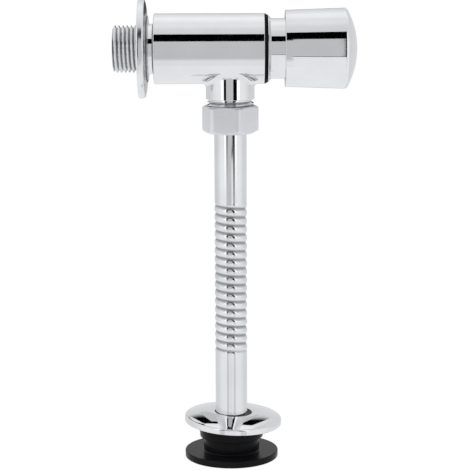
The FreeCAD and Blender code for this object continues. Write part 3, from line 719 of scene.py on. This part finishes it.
def make_tube_rosette():
    rim = -(TUBE_ROSETTE_RISE + TUBE_ROSETTE_BAND)
    outline = dish_outline(
        rim, 0.0, TUBE_ROSETTE_HOLE, TUBE_ROSETTE_RADIUS, TUBE_ROSETTE_BAND, TUBE_ROSETTE_LAND
    )
    piece = lathe("tube_cover", outline, around_outlet, "tube_rosette", (), COVER_SEGMENTS)
    front, right = TUBE_ROSETTE_TILTS
    tilt = Matrix.Rotation(math.radians(math.hypot(front, right)), 4, Vector((front, right, 0)))
    piece.data.transform(Matrix.Translation((-OUTLET_X, 0, 0)))
    piece.data.transform(tilt)
    places = [vertex.co for vertex in piece.data.vertices]
    tilted_low = Vector([min(place[axis] for place in places) for axis in range(3)])
    tilted_high = Vector([max(place[axis] for place in places) for axis in range(3)])
    middle = (low("tube_rosette") + high("tube_rosette")) / 2
    piece.data.transform(Matrix.Translation(middle - (tilted_low + tilted_high) / 2))
    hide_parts("tube_rosette")
    coat(piece, CHROME)
    weighted_normals(piece, PRESSED_SHARP)


def make_bonnet():
    spigot_x = BODY_END_X - SPIGOT_LENGTH
    gland_x = SLEEVE_END_X - GLAND_DEPTH
    collar_end_x = COLLAR_X + COLLAR_LENGTH
    back_edge, crest_edge = COLLAR_EDGES
    outline = rounded([
        (spigot_x, CYLINDER_RADIUS, 0),
        (spigot_x, SPIGOT_RADIUS, 0),
        (COLLAR_X, SPIGOT_RADIUS, 0),
        (COLLAR_X, COLLAR_RADIUS, back_edge),
        (collar_end_x - COLLAR_CHAMFER, COLLAR_RADIUS, crest_edge),
        (collar_end_x, SLEEVE_RADIUS, SLEEVE_EDGE),
        (SLEEVE_END_X, SLEEVE_RADIUS, SLEEVE_EDGE),
        (SLEEVE_END_X, GLAND_RADIUS, SLEEVE_BORE_EDGE),
        (gland_x, GLAND_RADIUS, 0),
        (gland_x, CYLINDER_RADIUS, 0),
    ])
    piece = lathe("bonnet_sleeve", outline, along_x, "valve", ("bonnet",), COVER_SEGMENTS)
    coat(piece, CHROME)
    weighted_normals(piece, TURNED_SHARP)


def dome_point(out):
    """The place on the knob's domed face at that distance from the axis."""
    return Vector((KNOB_TIP_X - KNOB_DOME + math.sqrt(KNOB_DOME ** 2 - out ** 2), out))


def make_knob():
    inside = SLEEVE_RADIUS + KNOB_CLEARANCE
    bore_edge, back_edge = KNOB_BACK_EDGES
    corner_x = dome_point(KNOB_RADIUS).x
    wall_x = corner_x - KNOB_WALL_GAP
    near_edge = dome_point(KNOB_RADIUS - KNOB_EDGE_REACH)
    side = rounded([
        (wall_x, inside, 0),
        (KNOB_X, inside, bore_edge),
        (KNOB_X, KNOB_BACK_RADIUS, back_edge),
        (corner_x, KNOB_RADIUS, KNOB_EDGE),
        (near_edge.x, near_edge.y, 0),
    ], KNOB_EDGE_STEPS)
    face = [dome_point(near_edge.y * (1 - step / KNOB_FACE_STEPS)) for step in range(1, KNOB_FACE_STEPS)]
    points = [Vector((wall_x, 0.0))] + side + face + [Vector((KNOB_TIP_X, 0.0))]
    piece = lathe(
        "knob_shell", points, along_x, "button", ("button_cap",), BODY_SEGMENTS, closed=False
    )
    coat(piece, CHROME)
    # The knob's back face gets the painted shade.
    coat(piece, KNOB_BACK_SHADE, lambda middle, normal: middle.x < KNOB_X + KNOB_BACK_DEPTH)
    weighted_normals(piece, TURNED_SHARP)


def nut_reach(angle):
    """From the nut's axis to its side. A corner stands at NUT_TURN from +X."""
    from_x = angle - math.pi / 2
    half = NUT_CORNER_ANGLE / 2
    from_corner = abs((from_x - NUT_TURN + half) % NUT_CORNER_ANGLE - half)
    reach = NUT_FLATS / 2 / math.cos(half - from_corner)
    return min(reach, NUT_CORNER_RADIUS)


def nut_chamfer_row(height, face_radius, sign):
    """The lower edge of a chamfer, which curves up and down as the side comes and goes."""
    def row(angle):
        beyond = nut_reach(angle) - face_radius
        return height + sign * beyond * math.tan(NUT_CHAMFER_ANGLE), nut_reach(angle)
    return row


def at_nut_corner(middle, normal):
    turned = (math.atan2(middle.y, middle.x - OUTLET_X) - NUT_TURN) % NUT_CORNER_ANGLE
    from_corner = min(turned, NUT_CORNER_ANGLE - turned)
    return abs(normal.z) < NUT_UPRIGHT and from_corner < NUT_GLINT


def make_union_nut():
    top = high("union_nut").z
    bottom = low("union_nut").z
    shoulder = low("slip_ring").z
    tube_hole = TUBE_RADIUS + NUT_TUBE_CLEARANCE
    rows = [
        fixed_row(top, NUT_THREAD_BORE),
        fixed_row(top, NUT_TOP_RADIUS),
        nut_chamfer_row(top, NUT_TOP_RADIUS, -1),
        nut_chamfer_row(bottom, NUT_BOTTOM_RADIUS, 1),
        fixed_row(bottom, NUT_BOTTOM_RADIUS),
        fixed_row(bottom, tube_hole),
        fixed_row(shoulder, tube_hole),
        fixed_row(shoulder, NUT_THREAD_BORE),
    ]
    piece = grid_piece(
        "coupling_nut", rows, around_outlet, NUT_SEGMENTS, "union_nut", ("union_nut",)
    )
    coat(piece, SATIN_CHROME)
    coat(piece, CORNER_CHROME, at_nut_corner)
    soften = piece.modifiers.new("worn_edges", "BEVEL")
    soften.width = NUT_WORN_EDGE
    soften.segments = NUT_WORN_STEPS
    soften.limit_method = "ANGLE"
    soften.angle_limit = NUT_WORN_ANGLE
    weighted_normals(piece)


def groove_distance(turns, angle):
    """How far a place is from the groove, from 0 in the groove to 1 on the rib's crest."""
    phase = turns - FIRST_FRONT_GROOVE - angle / TAU
    return 1 - abs(2 * (phase % 1.0) - 1)


def rib_depth(away):
    """Share of the groove's depth: each rib is an arc, each groove a soft cusp."""
    away = math.sqrt(away ** 2 + RIB_SOFTNESS ** 2) - RIB_SOFTNESS * (1 - away)
    across = (1 - away) * math.sin(RIB_ARC)
    return (1 - math.sqrt(1 - across ** 2)) / (1 - math.cos(RIB_ARC))


def rib_blend(turns):
    """How far the ribs have risen, from nothing at both ends of the ribbed length."""
    ends = min(turns, RIBS - turns)
    blend = min(max(ends / RIB_FADE, 0.0), 1.0)
    return blend * blend * (3 - 2 * blend)


def tube_skin_row(height, offset):
    """The tube's skin, or its inside at that offset: ribbed where the ribs have risen."""
    turns = (RIB_TOP_Z - height) / RIB_PITCH
    blend = rib_blend(turns)

    def row(angle):
        ribbed = TUBE_RADIUS + RIB_CREST - RIB_GROOVE * rib_depth(groove_distance(turns, angle))
        return height, TUBE_RADIUS + (ribbed - TUBE_RADIUS) * blend - offset
    return row


def ribbed_rows(offset, steps):
    return [tube_skin_row(RIB_TOP_Z - RIB_PITCH * step / steps, offset) for step in range(RIBS * steps + 1)]


def plain_rows(start, stop):
    places = [start + (stop - start) * step / TUBE_PLAIN_STEPS for step in range(TUBE_PLAIN_STEPS)]
    return [fixed_row(place, TUBE_RADIUS) for place in places]


def shade_grooves(piece):
    """Marks how near to a groove each vertex lies, so that the grooves get painted shade."""
    shade = piece.data.attributes.new(GROOVE_SHADE_LAYER, "FLOAT", "POINT")
    for vertex, share in zip(piece.data.vertices, shade.data):
        turns = (RIB_TOP_Z - vertex.co.z) / RIB_PITCH
        angle = math.atan2(vertex.co.x - OUTLET_X, -vertex.co.y)
        away = groove_distance(turns, angle)
        share.value = max(1 - away / GROOVE_SHADE_SHARE, 0.0) * rib_blend(turns)


def make_tube():
    bore = TUBE_RADIUS - TUBE_WALL
    rows = [fixed_row(TUBE_TOP_Z, bore)]
    rows += plain_rows(TUBE_TOP_Z, RIB_TOP_Z)
    rows += ribbed_rows(0.0, RIB_OUTER_STEPS)
    rows += plain_rows(TUBE_END_Z, RIB_BOTTOM_Z)[::-1]
    rows += [fixed_row(TUBE_END_Z, bore)]
    rows += ribbed_rows(TUBE_WALL, RIB_INNER_STEPS)[::-1]
    piece = grid_piece(
        "ribbed_tube", rows, around_outlet, TUBE_SEGMENTS, "valve", ("flush_tube",)
    )
    coat(piece, TUBE_CHROME)
    weighted_normals(piece, SOFT_SHARP)
    shade_grooves(piece)


def make_connector():
    top = high("spud_rubber").z
    radius = high("spud_rubber").y
    neck_low = FLOOR_Z + FLANGE_HEIGHT
    neck_high = neck_low + CONNECTOR_NECK_HEIGHT
    hole = TUBE_RADIUS + CONNECTOR_CLEARANCE
    bore = TUBE_RADIUS - TUBE_WALL
    outline = rounded([
        (top, hole, 0),
        (top, LIP_RADIUS, CONNECTOR_EDGE),
        (neck_high, LIP_FOOT_RADIUS, LIP_FOOT_EDGE),
        (neck_high, CONNECTOR_NECK_RADIUS, NECK_TOP_EDGE),
        (neck_low, CONNECTOR_NECK_RADIUS, CONNECTOR_EDGE),
        (neck_low, radius, CONNECTOR_EDGE),
        (FLOOR_Z, radius, CONNECTOR_EDGE),
        (FLOOR_Z, bore, OUTLET_EDGE),
        (TUBE_END_Z, bore, 0),
        (TUBE_END_Z, hole, 0),
    ])
    piece = lathe(
        "rubber_connector", outline, around_outlet, "valve", ("spud_rubber",),
        CONNECTOR_SEGMENTS,
    )
    coat(piece, RUBBER)
    weighted_normals(piece, SOFT_SHARP)


def make_spring():
    """The return spring, one rigid coil fixed to the valve. Pushing the button squeezes the real spring
    towards the gland nut.
    """
    start = low("return_spring").x
    stop = high("return_spring").x
    radius = (high("return_spring").y - low("return_spring").y) / 2 - SPRING_WIRE
    rise = (stop - start - 2 * SPRING_WIRE) / (TAU * SPRING_TURNS)
    verts = []
    for step in range(SPRING_STEPS + 1):
        turned = TAU * SPRING_TURNS * step / SPRING_STEPS
        outward = Vector((0, math.cos(turned), math.sin(turned)))
        heading = Vector((rise, -radius * math.sin(turned), radius * math.cos(turned))).normalized()
        across = heading.cross(outward)
        middle = Vector((start + SPRING_WIRE + rise * turned, 0, 0)) + outward * radius
        for side in range(SPRING_SIDES):
            angle = TAU * side / SPRING_SIDES
            verts.append(middle + (outward * math.cos(angle) + across * math.sin(angle)) * SPRING_WIRE)
    faces = ring_faces(SPRING_STEPS + 1, SPRING_SIDES, False)
    faces.append(tuple(range(SPRING_SIDES)))
    faces.append(tuple(SPRING_STEPS * SPRING_SIDES + side for side in range(SPRING_SIDES)))
    piece = mesh_object("wound_spring", verts, faces, "valve", ("return_spring",))
    coat(piece, STAINLESS)
    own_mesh(piece)


# Studio. The places of its cards and lamps are in millimetres.

CARD_DISTANCE = 200.0
THIN_CARD_DISTANCE = 199.0
DOME_CARD_DISTANCE = -150.0
REAR_CARD_DISTANCE = -200.0
WINDOW_GREY = 0.585
CARD_BLUE = 1.015
TENT_BLUE = 1.012
TENT_SEAM = 0.5
FLOOR_REACH = 1500.0 * MM
FLOOR_GAP = 0.05 * MM
LAMP_AIM = (40, 0, -80)
LAMP_SIZE = 0.5
LAMPS = (("key_light", (-350, -450, 500), 6.0), ("fill_light", (450, -250, 300), 3.0))

# Greys of the tent, as (upward part of the direction, grey)

FRONT_GREYS = ((-1.0, 0.90), (-0.3, 0.92), (0.3, 0.95), (0.72, 0.72), (0.86, 0.74), (0.96, 0.77), (1.0, 0.88))
REAR_GREYS = (
    (-1.0, 0.92), (-0.5, 0.90), (-0.25, 0.76), (-0.12, 0.70), (0.05, 0.78), (0.35, 0.72), (0.65, 0.86),
    (0.86, 1.02), (0.96, 1.0), (1.0, 0.88),
)


def glow_material(name, bright, faded=None, fade_from=0.0, fade_to=0.0):
    """A glowing card. With a second value, the glow changes to it between two heights."""
    material, nodes, links, shader = new_material(name)
    nodes.remove(shader)
    glow = nodes.new("ShaderNodeEmission")
    glow.inputs["Color"].default_value = (1.0, 1.0, CARD_BLUE, 1)
    glow.inputs["Strength"].default_value = bright
    if faded is not None:
        where = nodes.new("ShaderNodeTexCoord")
        parts = nodes.new("ShaderNodeSeparateXYZ")
        links.new(where.outputs["Object"], parts.inputs["Vector"])
        fade = nodes.new("ShaderNodeMapRange")
        fade.interpolation_type = "SMOOTHSTEP"
        fade.inputs["From Min"].default_value = fade_from * MM
        fade.inputs["From Max"].default_value = fade_to * MM
        fade.inputs["To Min"].default_value = bright
        fade.inputs["To Max"].default_value = faded
        links.new(parts.outputs["Z"], fade.inputs["Value"])
        links.new(fade.outputs["Result"], glow.inputs["Strength"])
    links.new(glow.outputs["Emission"], nodes["Material Output"].inputs["Surface"])
    return material


def card(name, left, right, bottom, top, material, distance=CARD_DISTANCE):
    """An upright card that only reflections see, in front of the valve or, if negative, behind it."""
    mesh = bpy.data.meshes.new(name)
    corners = [
        (left, -distance, bottom), (right, -distance, bottom), (right, -distance, top), (left, -distance, top)
    ]
    mesh.from_pydata([Vector(corner) * MM for corner in corners], [], [(0, 1, 2, 3)])
    piece = bpy.data.objects.new(name, mesh)
    bpy.context.scene.collection.objects.link(piece)
    mesh.materials.append(material)
    piece.visible_camera = False
    piece.visible_diffuse = False
    piece.visible_shadow = False
    piece.visible_transmission = False


def make_front_cards(black, window):
    """A grey window in a black frame, with a white softbox at each side of it."""
    window_end = glow_material("window_end_glow", WINDOW_GREY, faded=0.90, fade_from=-70.0, fade_to=-75.0)
    left_black = glow_material("left_post_black", 0.0, faded=0.66, fade_from=-38.0, fade_to=-106.0)
    right_black = glow_material("right_post_black", 0.0, faded=0.70, fade_from=-54.0, fade_to=-130.0)
    sill_black = glow_material("sill_black", 0.02)
    softbox = glow_material("softbox_glow", 1.3, faded=0.85, fade_from=-60.0, fade_to=-120.0)
    left, inner_left = -76.0, -27.0
    mullion, thin_post = 61.0, 89.6
    inner_right, right = 103.0, 163.0
    foot, lintel, crown = -260.0, 100.0, 243.0
    sill_low, sill_high, end_lintel = -73.0, -68.0, 115.0
    softbox_width, softbox_foot = 75.0, -130.0
    card("grey_window", inner_left, mullion, foot, lintel, window)
    card("grey_window_end", mullion, inner_right, foot, end_lintel, window_end)
    card("thin_sill", mullion, inner_right, sill_low, sill_high, sill_black, THIN_CARD_DISTANCE)
    card("thin_post", thin_post, inner_right, sill_low, end_lintel, sill_black, THIN_CARD_DISTANCE)
    card("black_lintel", left, mullion, lintel, crown, black)
    card("black_lintel_end", mullion, right, end_lintel, crown, black)
    card("black_left", left, inner_left, foot, lintel, left_black)
    card("black_right", inner_right, right, foot, end_lintel, right_black)
    card("white_left", left - softbox_width, left, softbox_foot, crown, softbox)
    card("white_right", right, right + softbox_width, softbox_foot, crown, softbox)


def make_rear_cards(black, window):
    """A grey card that the knob's dome sees, and a smaller window in a black frame."""
    dome_grey = glow_material("dome_glow", 0.74)
    post_black = glow_material("rear_post_black", 0.0, faded=0.70, fade_from=-34.0, fade_to=-88.0)
    dome_left, dome_right, dome_reach = 108.0, 420.0, 160.0
    left, inner_left = -28.0, 6.0
    inner_right, right = 72.0, 106.0
    foot, lintel, crown = -90.0, 10.0, 52.0
    card("dome_card", dome_left, dome_right, -dome_reach, dome_reach, dome_grey, DOME_CARD_DISTANCE)
    card("rear_lintel", left, right, lintel, crown, black, REAR_CARD_DISTANCE)
    card("rear_left", left, inner_left, foot, lintel, post_black, REAR_CARD_DISTANCE)
    card("rear_right", inner_right, right, foot, lintel, post_black, REAR_CARD_DISTANCE)
    card("rear_window", inner_left, inner_right, foot, lintel, window, REAR_CARD_DISTANCE)


def make_cards():
    black = glow_material("frame_black", 0.0)
    window = glow_material("window_glow", WINDOW_GREY, faded=0.85, fade_from=-94.0, fade_to=-150.0)
    make_front_cards(black, window)
    make_rear_cards(black, window)


def make_world():
    """White to the camera. Reflections see a tent whose grey depends on the direction."""
    world = bpy.data.worlds.new("studio")
    bpy.context.scene.world = world
    world.use_nodes = True
    nodes = world.node_tree.nodes
    links = world.node_tree.links
    backdrop = nodes["Background"]
    backdrop.inputs["Color"].default_value = (1.0, 1.0, 1.0, 1)
    backdrop.inputs["Strength"].default_value = 1.0
    where = nodes.new("ShaderNodeTexCoord")
    parts = nodes.new("ShaderNodeSeparateXYZ")
    links.new(where.outputs["Generated"], parts.inputs["Vector"])
    front = grey_ramp(nodes, links, parts.outputs["Z"], FRONT_GREYS)
    rear = grey_ramp(nodes, links, parts.outputs["Z"], REAR_GREYS)
    side = nodes.new("ShaderNodeMapRange")
    side.interpolation_type = "SMOOTHSTEP"
    side.inputs["From Min"].default_value = -TENT_SEAM
    side.inputs["From Max"].default_value = TENT_SEAM
    links.new(parts.outputs["Y"], side.inputs["Value"])
    blend = nodes.new("ShaderNodeMix")
    blend.data_type = "RGBA"
    links.new(side.outputs["Result"], blend.inputs["Factor"])
    links.new(front, blend.inputs["A"])
    links.new(rear, blend.inputs["B"])
    tent = nodes.new("ShaderNodeBackground")
    links.new(blend.outputs["Result"], tent.inputs["Color"])
    path = nodes.new("ShaderNodeLightPath")
    mix = nodes.new("ShaderNodeMixShader")
    links.new(path.outputs["Is Camera Ray"], mix.inputs["Fac"])
    links.new(tent.outputs["Background"], mix.inputs[1])
    links.new(backdrop.outputs["Background"], mix.inputs[2])
    links.new(mix.outputs["Shader"], nodes["World Output"].inputs["Surface"])


def grey_ramp(nodes, links, source, greys):
    spread = nodes.new("ShaderNodeMapRange")
    spread.inputs["From Min"].default_value = -1.0
    spread.inputs["From Max"].default_value = 1.0
    links.new(source, spread.inputs["Value"])
    ramp = nodes.new("ShaderNodeValToRGB")
    stops = ramp.color_ramp.elements
    while len(stops) < len(greys):
        stops.new(0.5)
    for stop, (upward, grey) in zip(stops, greys):
        stop.position = (upward + 1) / 2
        stop.color = (grey, grey, grey * TENT_BLUE, 1)
    links.new(spread.outputs["Result"], ramp.inputs["Fac"])
    return ramp.outputs["Color"]


def make_floor():
    """Plain and pale, as bright as the backdrop, and left out of the reflections."""
    height = FLOOR_Z - FLOOR_GAP
    corners = [
        (-FLOOR_REACH, -FLOOR_REACH, height), (FLOOR_REACH, -FLOOR_REACH, height),
        (FLOOR_REACH, FLOOR_REACH, height), (-FLOOR_REACH, FLOOR_REACH, height),
    ]
    mesh = bpy.data.meshes.new("floor")
    mesh.from_pydata(corners, [], [(0, 1, 2, 3)])
    floor = bpy.data.objects.new("floor", mesh)
    bpy.context.scene.collection.objects.link(floor)
    mesh.materials.append(glow_material("pale_floor", 1.0))
    floor.visible_glossy = False
    floor.visible_diffuse = False
    floor.visible_shadow = False


def make_lights():
    for name, place, power in LAMPS:
        lamp = bpy.data.lights.new(name, "AREA")
        lamp.shape = "SQUARE"
        lamp.size = LAMP_SIZE
        lamp.energy = power
        light = bpy.data.objects.new(name, lamp)
        bpy.context.scene.collection.objects.link(light)
        light.location = Vector(place) * MM
        aim = Vector(LAMP_AIM) * MM - light.location
        light.rotation_euler = aim.to_track_quat("-Z", "Y").to_euler()
        light.visible_glossy = False


def make_studio():
    make_cards()
    make_floor()
    make_world()
    make_lights()
    scene = bpy.context.scene
    scene.view_settings.view_transform = "Standard"
    scene.view_settings.look = "None"


# Camera

CAMERA_DISTANCE = 750 * MM
CAMERA_HEIGHT = 48.6 * MM
CAMERA_X = 42.3 * MM
CAMERA_PITCH = 10.0
CAMERA_ROLL = -0.2
FOCAL_PIXELS = 1690.0
IMAGE_PIXELS = 470
SENSOR_WIDTH = 36.0
CLIP_START = 0.01


def make_camera():
    lens = bpy.data.cameras.new("camera")
    lens.sensor_width = SENSOR_WIDTH
    lens.lens = FOCAL_PIXELS / IMAGE_PIXELS * SENSOR_WIDTH
    lens.clip_start = CLIP_START
    camera = bpy.data.objects.new("camera", lens)
    bpy.context.scene.collection.objects.link(camera)
    tilt = Matrix.Rotation(math.radians(90 - CAMERA_PITCH), 4, "X")
    roll = Matrix.Rotation(math.radians(CAMERA_ROLL), 4, "Z")
    camera.matrix_world = Matrix.Translation((CAMERA_X, -CAMERA_DISTANCE, CAMERA_HEIGHT)) @ tilt @ roll
    bpy.context.scene.camera = camera


# The whole scene

make_camera()
dress_nodes()
make_body_shell()
make_outlet_boss()
make_wall_rosette()
make_bonnet()
make_knob()
make_union_nut()
make_tube()
make_tube_rosette()
make_connector()
make_spring()
make_studio()
